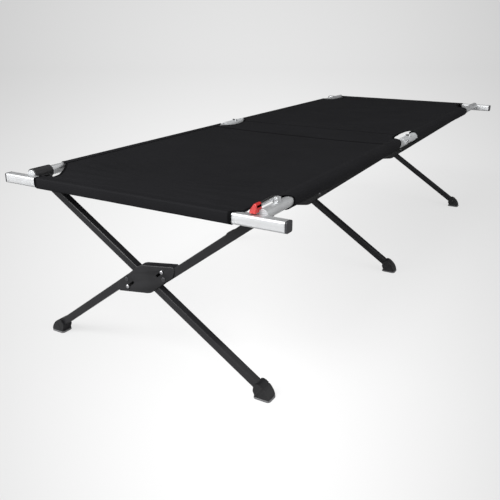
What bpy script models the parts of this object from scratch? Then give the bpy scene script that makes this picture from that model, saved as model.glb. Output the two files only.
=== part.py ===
"""Folding camp cot: three scissor leg frames, jointed side rails, end bars, a tension lever and a bed.

+X is the cot's right side, +Y runs from the near end bar to the far one, +Z is up. The origin is on the
floor, under the middle of the cot. Each leg frame lies in a plane of constant Y.
"""

import math

import bmesh
import bpy
from mathutils import Matrix, Vector

# ---- driving dimensions, in metres ----------------------------------------------------------------------
GAP = 0.0003                 # clearance between touching pieces
RAIL_X = 0.343               # rail centre line, each side
RAIL_Z = 0.460
RAIL_R = 0.0125
RAIL_WALL = 0.0015
BAR_Y = 1.043                # centre line of the end bars, each end
BAR_Z = 0.4495
BAR_SIZE = 0.025
BAR_WALL = 0.002
BAR_HALF = 0.4080            # half length of the aluminium, without its caps
CAP_THICK = 0.005
PEG_Z = 0.455                # height of the peg that the left end of each bar turns on
PEG_R = 0.0035

HINGE_Y = -0.037             # mid-rail hinge
HINGE_Z = 0.473
HINGE_CLEAR = 0.028          # each rail half stops this far from the hinge axis
HINGE_PIN_R = 0.0025

LEG_Y = (-0.997, -0.087, 0.870)   # planes of the three leg frames
TUBE = 0.020                 # square leg tube
TUBE_WALL = 0.0015
TOP_X, TOP_Z = 0.320, 0.440  # rail bracket pivots
FOOT_X, FOOT_Z = 0.330, 0.022     # lower end of a leg's axis, inside its foot
HUB_Z = 0.2342               # where the long leg crosses the middle
RIVET = Vector((0.0589, 0.0, 0.0120))   # hub pivot of the upper half leg, from the hub's middle
LOCK = Vector((0.0558, 0.0, 0.0307))    # lock bolt of the upper half leg, from the hub's middle
LOCK_DIR = Vector((-0.775, 0.0, -0.632))    # the way a lock bolt slides open
LOCK_TRAVEL = 0.022
PLATE_THICK = 0.0025
PIN_R = 0.003
LEG_END = 0.008              # tube beyond its pivot

FABRIC_X = 0.324             # half width of the bed between the rails
FABRIC_Z = 0.4715            # underside of the bed
FABRIC_THICK = 0.003
FABRIC_END = 1.028           # the bed's ends, behind the bars

LEVER_X = 0.332              # middle of the lever's arm
LEVER_PIVOT = Vector((0.332, -0.962, 0.4785))


# ---- materials -------------------------------------------------------------------------------------------
def material(name, colour, roughness, metallic):
    mat = bpy.data.materials.new(name)
    mat.use_nodes = True
    shader = mat.node_tree.nodes["Principled BSDF"]
    shader.inputs["Base Color"].default_value = (*colour, 1.0)
    shader.inputs["Roughness"].default_value = roughness
    shader.inputs["Metallic"].default_value = metallic
    mat.diffuse_color = (*colour, 1.0)
    return mat


def make_materials():
    return {
        "steel": material("black_steel", (0.045, 0.045, 0.048), 0.45, 0.6),
        "alu": material("aluminium", (0.72, 0.73, 0.75), 0.35, 1.0),
        "black": material("black_plastic", (0.02, 0.02, 0.022), 0.5, 0.0),
        "grey": material("grey_plastic", (0.55, 0.56, 0.58), 0.45, 0.0),
        "zinc": material("zinc_steel", (0.6, 0.6, 0.62), 0.3, 1.0),
        "red": material("red_plastic", (0.45, 0.02, 0.02), 0.4, 0.0),
        "fabric": material("black_fabric", (0.018, 0.018, 0.020), 0.9, 0.0),
    }


# ---- shape helpers ---------------------------------------------------------------------------------------
def finish(name, bm, mat, at=(0, 0, 0)):
    """One object with its origin at a world point; the mesh is built in world coordinates first."""
    bmesh.ops.transform(bm, matrix=Matrix.Translation(-Vector(at)), verts=bm.verts)
    mesh = bpy.data.meshes.new(name)
    bm.to_mesh(mesh)
    bm.free()
    mesh.shade_smooth()
    mesh.set_sharp_from_angle(angle=math.radians(35))
    obj = bpy.data.objects.new(name, mesh)
    obj.location = at
    obj.data.materials.append(mat)
    bpy.context.scene.collection.objects.link(obj)
    return obj


def cutter(name, bm):
    obj = finish(name, bm, CUT_MATERIAL)
    obj.hide_render = True
    obj.display_type = "WIRE"
    return obj


def cut(obj, tool, operation="DIFFERENCE"):
    """Adds a Boolean by a world-space tool that stays in the scene as a guide."""
    mod = obj.modifiers.new(tool.name, "BOOLEAN")
    mod.object = tool
    mod.operation = operation
    mod.solver = "EXACT"
    return mod


def frame_on(axis, up=(0, 0, 1)):
    """Rotation whose local Z runs along an axis."""
    z = Vector(axis).normalized()
    x = Vector(up).cross(z)
    if x.length < 1e-6:
        x = Vector((1, 0, 0))
    x.normalize()
    return Matrix((x, z.cross(x), z)).transposed().to_4x4()


def rod(start, end, radius, sides=16):
    bm = bmesh.new()
    start, end = Vector(start), Vector(end)
    bmesh.ops.create_cone(bm, cap_ends=True, segments=sides, radius1=radius, radius2=radius,
                          depth=(end - start).length)
    turn = frame_on(end - start)
    bmesh.ops.transform(bm, matrix=Matrix.Translation((start + end) / 2) @ turn, verts=bm.verts)
    return bm


def block(low, high):
    bm = bmesh.new()
    low, high = Vector(low), Vector(high)
    bmesh.ops.create_cube(bm, size=1.0)
    bmesh.ops.scale(bm, vec=high - low, verts=bm.verts)
    bmesh.ops.translate(bm, vec=(low + high) / 2, verts=bm.verts)
    return bm


def slab(outline, low, high, axis="Y"):
    """An outline of (x, z) points extruded along Y, of (x, y) points along Z, or of (y, z) along X."""
    place = {
        "Y": lambda a, b, c: (a, c, b),
        "Z": lambda a, b, c: (a, b, c),
        "X": lambda a, b, c: (c, a, b),
    }[axis]
    bm = bmesh.new()
    verts = [bm.verts.new(place(a, b, low)) for a, b in outline]
    face = bm.faces.new(verts)
    grown = bmesh.ops.extrude_face_region(bm, geom=[face])
    moved = [v for v in grown["geom"] if isinstance(v, bmesh.types.BMVert)]
    bmesh.ops.translate(bm, vec=Vector(place(0, 0, high - low)), verts=moved)
    bmesh.ops.recalc_face_normals(bm, faces=bm.faces)
    return bm


def arc(centre, radius, start, end, steps):
    """Points on an arc in the plane, angles in degrees."""
    return [(centre[0] + radius * math.cos(math.radians(start + (end - start) * i / steps)),
             centre[1] + radius * math.sin(math.radians(start + (end - start) * i / steps)))
            for i in range(steps + 1)]


def rounded(width, height, radius, steps=3):
    """Outline of a rectangle with rounded corners, centred on zero."""
    x, y = width / 2 - radius, height / 2 - radius
    corners = ((x, y, 0), (-x, y, 90), (-x, -y, 180), (x, -y, 270))
    return [p for cx, cy, a in corners for p in arc((cx, cy), radius, a, a + 90, steps)]


def tube_between(start, end, outer, inner):
    """A hollow section between two points: outer and inner are matching outlines about the axis."""
    start, end = Vector(start), Vector(end)
    turn = frame_on(end - start, up=(0, 1, 0))
    bm = bmesh.new()
    rings = []
    for point in (start, end):
        for outline in (outer, inner):
            rings.append([bm.verts.new(point + turn @ Vector((a, b, 0))) for a, b in outline])
    count = len(outer)
    for i in range(count):
        j = (i + 1) % count
        out0, in0, out1, in1 = rings
        bm.faces.new((out0[i], out0[j], out1[j], out1[i]))
        bm.faces.new((in0[j], in0[i], in1[i], in1[j]))
        bm.faces.new((out0[j], out0[i], in0[i], in0[j]))
        bm.faces.new((out1[i], out1[j], in1[j], in1[i]))
    bmesh.ops.recalc_face_normals(bm, faces=bm.faces)
    return bm


def circle(radius, sides):
    return arc((0, 0), radius, 0, 360 * (sides - 1) / sides, sides - 1)


def square_tube(start, end):
    outer = rounded(TUBE, TUBE, 0.002, 2)
    inner = rounded(TUBE - 2 * TUBE_WALL, TUBE - 2 * TUBE_WALL, 0.0008, 2)
    return tube_between(start, end, outer, inner)


# ---- leg frames ------------------------------------------------------------------------------------------
def leg_points(y, side):
    """Top pivot and lower end of a leg whose foot is on the given side (1 right, -1 left)."""
    return Vector((-side * TOP_X, y, TOP_Z)), Vector((side * FOOT_X, y, FOOT_Z))


def hub(y):
    return Vector((0, y, HUB_Z))


def pivot_bore(name, point):
    return cutter(name, rod(point + Vector((0, -0.02, 0)), point + Vector((0, 0.02, 0)), PIN_R + GAP, 12))


def half_turn(offset, side):
    """An offset from the hub, or the opposite one for the lower half leg."""
    return Vector((offset.x * side, offset.y, offset.z * side))


def long_leg(number, y, mats):
    top, low = leg_points(y, 1)
    way = (low - top).normalized()
    leg = finish(f"long_leg_{number}", square_tube(top - way * LEG_END, low), mats["steel"], top)
    cut(leg, pivot_bore(f"cut_top_{number}", top))


def half_legs(number, y, mats):
    upper_pivot = hub(y) + half_turn(RIVET, 1)
    lower_pivot = hub(y) + half_turn(RIVET, -1)
    right_top = Vector((TOP_X, y, TOP_Z))
    left_low = Vector((-FOOT_X, y, FOOT_Z))
    up = (right_top - upper_pivot).normalized()
    down = (left_low - lower_pivot).normalized()
    tube = square_tube(upper_pivot - up * LEG_END, right_top + up * LEG_END)
    upper = finish(f"upper_half_leg_{number}", tube, mats["steel"], upper_pivot)
    cut(upper, pivot_bore(f"cut_upper_{number}", upper_pivot))
    cut(upper, pivot_bore(f"cut_right_top_{number}", right_top))
    tube = square_tube(lower_pivot - down * LEG_END, left_low)
    lower = finish(f"lower_half_leg_{number}", tube, mats["steel"], lower_pivot)
    cut(lower, pivot_bore(f"cut_lower_{number}", lower_pivot))


def plate_outline():
    """Half of the plate's edge; the other half is the same turned by 180 degrees about the hub."""
    half = [(0.0860, 0.0500), (0.0915, 0.0460), (0.0925, 0.0380), (0.0885, 0.0230), (0.0840, 0.0180),
            (0.0730, 0.0130), (0.0500, -0.0060), (0.0215, -0.0300), (0.0150, -0.0340), (0.0060, -0.0370)]
    return half + [(-x, -z) for x, z in half]


def hub_parts(number, y, mats):
    inside = TUBE / 2 + GAP
    outside = inside + PLATE_THICK
    middle = hub(y)
    outline = [(middle.x + x, middle.z + z) for x, z in reversed(plate_outline())]
    for label, low in (("front", y - outside), ("back", y + inside)):
        plate = finish(f"hub_plate_{label}_{number}", slab(outline, low, low + PLATE_THICK), mats["steel"],
                       (0, low, HUB_Z))
        for way, side in (("upper", 1), ("lower", -1)):
            hole = hub(low) + half_turn(RIVET, side)
            cut(plate, pivot_bore(f"cut_plate_{label}_{way}_{number}", hole))
            if label == "front":
                bolt = hub(low) + half_turn(LOCK, side)
                cut(plate, slot_cutter(f"cut_slot_{way}_{number}", bolt, half_turn(LOCK_DIR, side)))
    for way, side in (("upper", 1), ("lower", -1)):
        rivet(f"hub_rivet_{way}_{number}", middle + half_turn(RIVET, side), outside + GAP, mats["zinc"])
        lock_bolt(f"lock_bolt_{way}_{number}", middle + half_turn(LOCK, side), mats["zinc"])


def slot_cutter(name, bolt, way):
    """A straight slot with round ends, from the bolt's place at rest to its open end."""
    radius = 0.0033
    end = bolt + way * LOCK_TRAVEL
    turn = math.degrees(math.atan2(way.z, way.x))
    outline = (arc((bolt.x, bolt.z), radius, turn + 90, turn + 270, 6)
               + arc((end.x, end.z), radius, turn - 90, turn + 90, 6))
    return cutter(name, slab(outline, bolt.y - 0.01, bolt.y + 0.01))


def turned(profile, point, sides=16):
    """A solid of revolution about Y through a point: profile holds (distance along Y, radius) pairs."""
    bm = bmesh.new()
    rings = []
    for along, radius in profile:
        rings.append([bm.verts.new(point + Vector((a, along, b))) for a, b in circle(radius, sides)])
    for low, high in zip(rings, rings[1:]):
        for i in range(sides):
            j = (i + 1) % sides
            bm.faces.new((low[i], low[j], high[j], high[i]))
    bm.faces.new(rings[0])
    bm.faces.new(rings[-1])
    bmesh.ops.recalc_face_normals(bm, faces=bm.faces)
    return bm


def rivet(name, point, reach, mat):
    """A shank through both plates and the tube, with a low head at each end."""
    head, rise = 0.0060, 0.0016
    profile = [(-reach - rise, head * 0.6), (-reach - rise * 0.6, head), (-reach, head), (-reach, PIN_R),
               (reach, PIN_R), (reach, head), (reach + rise * 0.6, head), (reach + rise, head * 0.6)]
    finish(name, turned(profile, point, 12), mat, point)


def lock_bolt(name, point, mat):
    """A lock button: the neck rides in the front plate's slot, the head stands in front of it."""
    front = TUBE / 2 + GAP + PLATE_THICK
    profile = [(-front - 0.0045, 0.0035), (-front - 0.0035, 0.0050), (-front - GAP, 0.0050),
               (-front - GAP, PIN_R), (-front + PLATE_THICK - GAP, PIN_R)]
    finish(name, turned(profile, point, 12), mat, point)


def bracket(number, y, side, mats, collar=None):
    """Clevis under a rail: two ears and a cross pin for the leg, hollowed to the rail's round."""
    ear = 0.0033
    half = TUBE / 2 + GAP + ear
    pivot = Vector((side * TOP_X, y, TOP_Z))
    rail = Vector((side * RAIL_X, y, RAIL_Z))
    way = (rail - pivot).normalized()
    turn = math.degrees(math.atan2(way.z, way.x))
    reach = (rail - pivot).length
    across = Vector((-way.z, 0, way.x)) * side
    near, far = pivot + way * 0.012, rail - way * 0.006
    corners = [near - across * 0.0115, far - across * 0.0128, far + across * 0.0055, near + across * 0.0100]
    outline = (arc((pivot.x, pivot.z), 0.0105, turn + 90, turn + 270, 8)
               + [(p.x, p.z) for p in (corners if side > 0 else reversed(corners))])
    name = f"bracket_{'right' if side > 0 else 'left'}_{number}"
    body = finish(name, slab(outline, y - half, y + half), mats["black"], pivot)
    pocket_end = reach - RAIL_R - 0.0045
    pocket = block((-0.04, -TUBE / 2 - GAP, -0.04), (0.04, TUBE / 2 + GAP, pocket_end))
    place = Matrix.Translation(pivot) @ frame_on(way, up=(0, 1, 0))
    bmesh.ops.transform(pocket, matrix=place, verts=pocket.verts)
    cut(body, cutter(f"cut_{name}_pocket", pocket))
    if collar:
        ring = cutter(f"add_{name}_collar", rod((rail.x, collar[0], rail.z), (rail.x, collar[1], rail.z),
                                                RAIL_R + 0.0033, 24))
        cut(body, ring, "UNION")
    length = 0.05 if collar else 0.03
    cut(body, cutter(f"cut_{name}_rail", rod(rail - Vector((0, length, 0)), rail + Vector((0, length, 0)),
                                             RAIL_R + GAP, 24)))
    reach = Vector((0, half + 0.001, 0))
    cut(body, cutter(f"add_{name}_pin", rod(pivot - reach, pivot + reach, PIN_R, 12)), "UNION")


def foot(name, y, side, mats):
    """A shoe around the lower end of a leg, with a flat sole and a socket along the leg."""
    outline = [(0.314, 0.0), (0.354, 0.0), (0.357, 0.003), (0.3565, 0.014), (0.350, 0.026), (0.3387, 0.0365),
               (0.3177, 0.0490), (0.3100, 0.0190), (0.3165, 0.0070), (0.314, 0.0035)]
    half = 0.019
    points = [(side * x, z) for x, z in outline]
    body = finish(name, slab(points, y - half, y + half), mats["black"], (side * FOOT_X, y, 0.0))
    bevel = body.modifiers.new("edges", "BEVEL")
    bevel.width = 0.0022
    bevel.segments = 1
    bevel.limit_method = "ANGLE"
    bevel.angle_limit = math.radians(60)
    end = Vector((side * FOOT_X, y, FOOT_Z))
    start = Vector((-side * TOP_X, y, TOP_Z)) if side > 0 else hub(y) + half_turn(RIVET, -1)
    way = (end - start).normalized()
    room = TUBE / 2 + GAP
    socket = block((-room, -room, -0.06), (room, room, GAP))
    place = Matrix.Translation(end) @ frame_on(way, up=(0, 1, 0))
    bmesh.ops.transform(socket, matrix=place, verts=socket.verts)
    cut(body, cutter(f"cut_{name}", socket))


def leg_frame(number, y, mats):
    long_leg(number, y, mats)
    half_legs(number, y, mats)
    hub_parts(number, y, mats)
    rail_near = -BAR_Y + BAR_SIZE / 2 + GAP
    collar = (rail_near + 0.004, rail_near + 0.062) if number == 1 else None
    bracket(number, y, -1, mats, collar)
    bracket(number, y, 1, mats)
    foot(f"foot_right_{number}", y, 1, mats)
    foot(f"foot_left_{number}", y, -1, mats)


# ---- rails and their hinges ------------------------------------------------------------------------------
def rail_half(name, side, start, end, peg, mats):
    """A round tube from the bar to the hinge. A plug closes its bar end, and carries a peg on the left."""
    bar_end, hinge_end = start, end
    way = 1 if hinge_end > bar_end else -1
    tube = tube_between((side * RAIL_X, bar_end, RAIL_Z), (side * RAIL_X, hinge_end, RAIL_Z),
                        circle(RAIL_R, 24), circle(RAIL_R - RAIL_WALL, 24))
    rail = finish(name, tube, mats["alu"], (side * RAIL_X, hinge_end, RAIL_Z))
    plug = cutter(f"add_{name}_plug", rod((side * RAIL_X, bar_end, RAIL_Z),
                                          (side * RAIL_X, bar_end + way * 0.012, RAIL_Z),
                                          RAIL_R - RAIL_WALL / 2, 24))
    cut(rail, plug, "UNION")
    if peg:
        stub = cutter(f"add_{name}_peg", rod((side * RAIL_X, bar_end - way * 0.014, PEG_Z),
                                             (side * RAIL_X, bar_end + way * 0.006, PEG_Z), PEG_R, 12))
        cut(rail, stub, "UNION")


def hinge(side, mats):
    label = "right" if side > 0 else "left"
    x = side * RAIL_X
    axis = Vector((x, HINGE_Y, HINGE_Z))
    skirt, shell = 0.001, 0.0028
    inner, outer = RAIL_R + GAP, RAIL_R + GAP + shell
    low = RAIL_Z - skirt
    saddle = ([(x + outer, low)] + arc((x, RAIL_Z), outer, 0, 180, 12) + [(x - outer, low), (x - inner, low)]
              + arc((x, RAIL_Z), inner, 180, 0, 12) + [(x + inner, low)])
    shell = slab(saddle, HINGE_Y - 0.072, HINGE_Y + 0.062)
    housing = finish(f"hinge_housing_{label}", shell, mats["grey"], axis)
    lug_half, tongue_half, lug_r = 0.0095, 0.0050, 0.0065
    lug = (arc((HINGE_Y, HINGE_Z), lug_r, 0, 180, 8)
           + [(HINGE_Y - lug_r, HINGE_Z - 0.0085), (HINGE_Y + lug_r, HINGE_Z - 0.0085)])
    cut(housing, cutter(f"add_housing_{label}", slab(lug, x - lug_half, x + lug_half, "X")), "UNION")
    room = Vector((tongue_half + GAP, 0, 0.02))
    cut(housing, cutter(f"cut_housing_{label}", block(axis - room - Vector((0, 0.0105, 0)),
                                                      axis + room + Vector((0, 0.016, 0)))))
    span = Vector((0.03, 0, 0))
    cut(housing, cutter(f"bore_housing_{label}", rod(axis - span, axis + span, HINGE_PIN_R + GAP, 12)))
    far = HINGE_Y + HINGE_CLEAR
    tongue_r = 0.0055
    end = far - 0.0004
    profile = ([(end, HINGE_Z - 0.0210), (end, HINGE_Z - 0.0045), (HINGE_Y + 0.012, HINGE_Z - 0.004)]
               + arc((HINGE_Y, HINGE_Z), tongue_r, 30, 200, 8) + [(HINGE_Y + 0.004, HINGE_Z - 0.012)])
    blade = slab(profile, x - tongue_half, x + tongue_half, "X")
    tongue = finish(f"hinge_tongue_{label}", blade, mats["black"], axis)
    plug = rod((x, far - 0.004, RAIL_Z), (x, far + 0.030, RAIL_Z), RAIL_R - RAIL_WALL - GAP, 20)
    cut(tongue, cutter(f"add_tongue_{label}", plug), "UNION")
    cut(tongue, cutter(f"bore_tongue_{label}", rod(axis - span, axis + span, HINGE_PIN_R + GAP, 12)))
    half = Vector((lug_half, 0, 0))
    finish(f"hinge_pin_{label}", rod(axis - half, axis + half, HINGE_PIN_R, 12), mats["zinc"], axis)


def rails(mats):
    bar_face = BAR_Y - BAR_SIZE / 2 - GAP
    for side, label in ((-1, "left"), (1, "right")):
        rail_half(f"rail_{label}_near", side, -bar_face, HINGE_Y - HINGE_CLEAR, side < 0, mats)
        rail_half(f"rail_{label}_far", side, bar_face, HINGE_Y + HINGE_CLEAR, side < 0, mats)
        hinge(side, mats)


# ---- end bars --------------------------------------------------------------------------------------------
def end_bar(label, way, mats):
    """A rounded box tube across the rails' ends. Its left end turns on the left rail's peg."""
    y = way * BAR_Y
    peg = Vector((-RAIL_X, y, PEG_Z))
    outer = rounded(BAR_SIZE, BAR_SIZE, 0.004, 3)
    inner = rounded(BAR_SIZE - 2 * BAR_WALL, BAR_SIZE - 2 * BAR_WALL, 0.0022, 3)
    bar = finish(f"end_bar_{label}", tube_between((-BAR_HALF, y, BAR_Z), (BAR_HALF, y, BAR_Z), outer, inner),
                 mats["alu"], peg)
    inward = y - way * BAR_SIZE / 2
    cut(bar, cutter(f"cut_end_bar_{label}", rod((peg.x, inward - way * 0.004, peg.z),
                                                (peg.x, inward + way * 0.004, peg.z), PEG_R + GAP, 12)))
    for side, name in ((-1, "left"), (1, "right")):
        end = side * (BAR_HALF + GAP)
        plug_half = BAR_SIZE / 2 - BAR_WALL - GAP
        face = [(y + a, BAR_Z + b) for a, b in outer]
        cap = finish(f"end_cap_{label}_{name}", slab(face, end, end + side * CAP_THICK, "X"), mats["black"],
                     (end, y, BAR_Z))
        neck = [(y + a, BAR_Z + b) for a, b in rounded(2 * plug_half, 2 * plug_half, 0.003, 3)]
        low, high = sorted((end - side * 0.014, end + side * 0.002))
        cut(cap, cutter(f"add_cap_{label}_{name}", slab(neck, low, high, "X")), "UNION")


# ---- tension lever ---------------------------------------------------------------------------------------
def lever(mats):
    pivot = LEVER_PIVOT
    arm_half, arm_high = 0.0045, 0.0035
    arm_outline = ([(-1.040, pivot.z - arm_high), (-1.040, pivot.z + arm_high - 0.001)]
                   + arc((pivot.y, pivot.z), 0.0050, 120, -120, 8))
    strip = slab(arm_outline, LEVER_X - arm_half, LEVER_X + arm_half, "X")
    arm = finish("lever_arm", strip, mats["alu"], pivot)
    bore = rod(pivot - Vector((0.02, 0, 0)), pivot + Vector((0.02, 0, 0)), 0.0023, 12)
    cut(arm, cutter("bore_lever_arm", bore))

    mount = finish("lever_mount", block((LEVER_X + arm_half + GAP, pivot.y - 0.008, RAIL_Z + 0.004),
                                        (LEVER_X + arm_half + 0.010, pivot.y + 0.008, pivot.z + 0.0035)),
                   mats["black"], pivot)
    round_rail = rod((RAIL_X, pivot.y - 0.03, RAIL_Z), (RAIL_X, pivot.y + 0.03, RAIL_Z), RAIL_R + GAP, 24)
    cut(mount, cutter("cut_lever_mount", round_rail))
    reach = Vector((arm_half + 0.0015, 0, 0))
    cut(mount, cutter("add_lever_mount", rod(pivot - reach, pivot + reach, 0.0020, 12)), "UNION")

    side = LEVER_X - arm_half - GAP
    grip_outline = [(-1.047, 0.4640), (-1.004, 0.4655), (-0.999, 0.4750), (-1.003, 0.4850), (-1.036, 0.4870),
                    (-1.048, 0.4790)]
    grip = finish("lever_handle", slab(grip_outline, side - 0.022, side, "X"), mats["red"],
                  (side, -1.020, pivot.z))
    top = pivot.z + arm_high + GAP
    roof = [(-1.044, top), (-1.005, top), (-1.007, 0.4848), (-1.036, 0.4865)]
    cut(grip, cutter("add_lever_handle", slab(roof, side - 0.004, LEVER_X + arm_half, "X")), "UNION")
    bevel = grip.modifiers.new("edges", "BEVEL")
    bevel.width = 0.0015
    bevel.segments = 2
    bevel.limit_method = "ANGLE"


# ---- fabric bed ------------------------------------------------------------------------------------------
def fabric(mats):
    """Two plain closed solids between the rails, notched at the corners where the rails lie bare."""
    near_edge = HINGE_Y - 0.0006
    far_edge = HINGE_Y + 0.0006
    near = [(-0.262, -FABRIC_END), (0.284, -FABRIC_END), (0.290, -1.000), (0.302, -0.972),
            (FABRIC_X, -0.945), (FABRIC_X, -0.120), (0.312, -0.080), (0.311, near_edge),
            (-0.305, near_edge), (-0.290, -0.080), (-0.292, -0.120), (-FABRIC_X, -0.175),
            (-FABRIC_X, -0.935), (-0.307, -0.949), (-0.279, -0.981), (-0.263, -1.010)]
    far = [(-0.305, far_edge), (0.311, far_edge), (0.313, 0.040), (FABRIC_X, 0.060),
           (FABRIC_X, 0.800), (0.299, 0.885), (0.290, 0.950), (0.284, FABRIC_END),
           (-0.318, FABRIC_END), (-0.300, 0.980), (-0.280, 0.930), (-0.275, 0.870), (-0.285, 0.830),
           (-FABRIC_X, 0.795), (-FABRIC_X, 0.005)]
    for name, outline in (("fabric_near", near), ("fabric_far", far)):
        sheet = slab(outline, FABRIC_Z, FABRIC_Z + FABRIC_THICK, "Z")
        finish(name, sheet, mats["fabric"], (-FABRIC_X, 0, FABRIC_Z))


# ---- assembly --------------------------------------------------------------------------------------------
for old in list(bpy.data.objects):
    bpy.data.objects.remove(old, do_unlink=True)

CUT_MATERIAL = material("guide", (0.8, 0.4, 0.1), 0.5, 0.0)


def main():
    mats = make_materials()
    for number, y in enumerate(LEG_Y, start=1):
        leg_frame(number, y, mats)
    rails(mats)
    end_bar("near", -1, mats)
    end_bar("far", 1, mats)
    lever(mats)
    fabric(mats)


main()
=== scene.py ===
"""Folding camp cot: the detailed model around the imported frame.

Every hard piece starts from its CAD solid and gets rounded edges and a finish. The bed and its sleeves are
cloth, modelled from their own outlines, and the feet, rails and hinge rivets are modelled anew.
"""

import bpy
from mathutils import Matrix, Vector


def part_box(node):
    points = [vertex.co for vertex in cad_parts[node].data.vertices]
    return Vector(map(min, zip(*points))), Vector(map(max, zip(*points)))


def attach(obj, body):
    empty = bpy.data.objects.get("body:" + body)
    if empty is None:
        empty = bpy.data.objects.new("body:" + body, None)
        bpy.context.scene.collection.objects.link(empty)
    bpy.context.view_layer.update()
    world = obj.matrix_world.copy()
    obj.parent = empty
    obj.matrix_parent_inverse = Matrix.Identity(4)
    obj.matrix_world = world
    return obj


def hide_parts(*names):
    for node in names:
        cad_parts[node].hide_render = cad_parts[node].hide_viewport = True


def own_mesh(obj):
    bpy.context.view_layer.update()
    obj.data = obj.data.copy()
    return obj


bl_info = {
    "name": "Folding camp cot",
    "version": (1, 0, 0),
    "blender": (4, 5, 0),
    "location": "View3D > Sidebar > Camp cot",
    "description": "Builds the bed, sleeves, rails, legs, feet, hinges and lever of a folding camp cot",
    "category": "Add Mesh",
}

import math

import bmesh
import bpy
import numpy as np
from mathutils import Euler, Matrix, Vector, noise
from mathutils.geometry import convex_hull_2d, intersect_point_line

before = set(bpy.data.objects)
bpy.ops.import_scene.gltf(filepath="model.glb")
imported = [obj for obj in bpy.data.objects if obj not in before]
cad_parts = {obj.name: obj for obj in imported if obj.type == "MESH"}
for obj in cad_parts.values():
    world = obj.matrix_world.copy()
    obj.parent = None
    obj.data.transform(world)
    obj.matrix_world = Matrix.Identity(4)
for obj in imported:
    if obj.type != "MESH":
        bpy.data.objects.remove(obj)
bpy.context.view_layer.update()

SEAM_X = 0.322
VIEW_AT = (0.926, -2.065, 0.827)
VIEW_TURN = Euler((math.radians(90 - 20.48), 0.0, math.radians(30.59)))
FRAMES = (1, 2, 3)
SIDES = ((-1, "left"), (1, "right"))
ENDS = ("near", "far")


def middle(node, axis):
    """Where the middle of a solid's box lies on an axis."""
    low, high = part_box(node)
    return (low[axis] + high[axis]) / 2


HINGE_Y = middle("hinge_pin_right", 1)
RAIL_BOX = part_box("rail_right_near")
RAIL_X = middle("rail_right_near", 0)
RAIL_Z = middle("rail_right_near", 2)
RAIL_R = (RAIL_BOX[1].x - RAIL_BOX[0].x) / 2
BAR_BOX = {end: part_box(f"end_bar_{end}") for end in ENDS}
FRAME_Y = {k: middle(f"long_leg_{k}", 1) for k in FRAMES}


# ---- settings --------------------------------------------------------------------------------------------
class CotBedSettings(bpy.types.PropertyGroup):
    seam_x: bpy.props.FloatProperty(
        name="Seam offset", description="Distance of the sleeve seams from the middle of the bed",
        default=SEAM_X, unit="LENGTH")
    rim_z: bpy.props.FloatProperty(
        name="Rim height", description="Height of the cloth along the sleeve seams", default=0.4738,
        unit="LENGTH")
    sag: bpy.props.FloatProperty(
        name="Sag", description="How far the middle of the stretched bed hangs", default=0.0042, unit="LENGTH")
    pucker: bpy.props.FloatProperty(
        name="Pucker", description="Height of the small ripples along the seams", default=0.0005, unit="LENGTH")
    cloth_thick: bpy.props.FloatProperty(
        name="Cloth thickness", description="Thickness of the woven cloth", default=0.0009, unit="LENGTH")
    cloth_colour: bpy.props.FloatVectorProperty(
        name="Cloth colour", description="Colour of the woven cloth", subtype="COLOR", size=3,
        default=(0.0108, 0.0108, 0.0120))
    # The bound edges' colour, also used for the strip of painted shade along the bed's cross seam.
    binding_and_seam_shade_colour: bpy.props.FloatVectorProperty(
        name="Edge tape colour", description="Colour of the tape that binds the open edges", subtype="COLOR",
        size=3, default=(0.0025, 0.0025, 0.003))


class CotFrameSettings(bpy.types.PropertyGroup):
    steel_colour: bpy.props.FloatVectorProperty(
        name="Leg coating", description="Colour of the legs' powder coat", subtype="COLOR", size=3,
        default=(0.0195, 0.0195, 0.021))
    aluminium_colour: bpy.props.FloatVectorProperty(
        name="Aluminium", description="Colour of the rails and bars", subtype="COLOR", size=3,
        default=(0.74, 0.75, 0.76))
    plastic_colour: bpy.props.FloatVectorProperty(
        name="Black plastic", description="Colour of the feet, caps and brackets", subtype="COLOR", size=3,
        default=(0.008, 0.008, 0.009))
    hinge_colour: bpy.props.FloatVectorProperty(
        name="Hinge cover", description="Colour of the rail hinges' covers", subtype="COLOR", size=3,
        default=(0.44, 0.45, 0.46))
    handle_colour: bpy.props.FloatVectorProperty(
        name="Handle", description="Colour of the tension lever's handle", subtype="COLOR", size=3,
        default=(0.50, 0.022, 0.020))
    edge_radius: bpy.props.FloatProperty(
        name="Edge radius", description="Rounding of pressed and moulded edges", default=0.0006, unit="LENGTH")


class CotStageSettings(bpy.types.PropertyGroup):
    floor_colour: bpy.props.FloatVectorProperty(
        name="Floor", description="Colour of the floor and backdrop", subtype="COLOR", size=3,
        default=(1.0, 1.0, 1.0))
    glow: bpy.props.FloatProperty(
        name="Floor glow", description="How far the floor's own light hides shadows", default=0.85,
        subtype="FACTOR")
    fill: bpy.props.FloatProperty(
        name="Fill light", description="Strength of the even light", default=0.55, subtype="FACTOR")
    key: bpy.props.FloatProperty(
        name="Key light", description="Power of the front light", default=285.0, unit="POWER")
    lens: bpy.props.FloatProperty(name="Lens", description="Focal length", default=43.675, unit="CAMERA")


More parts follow.
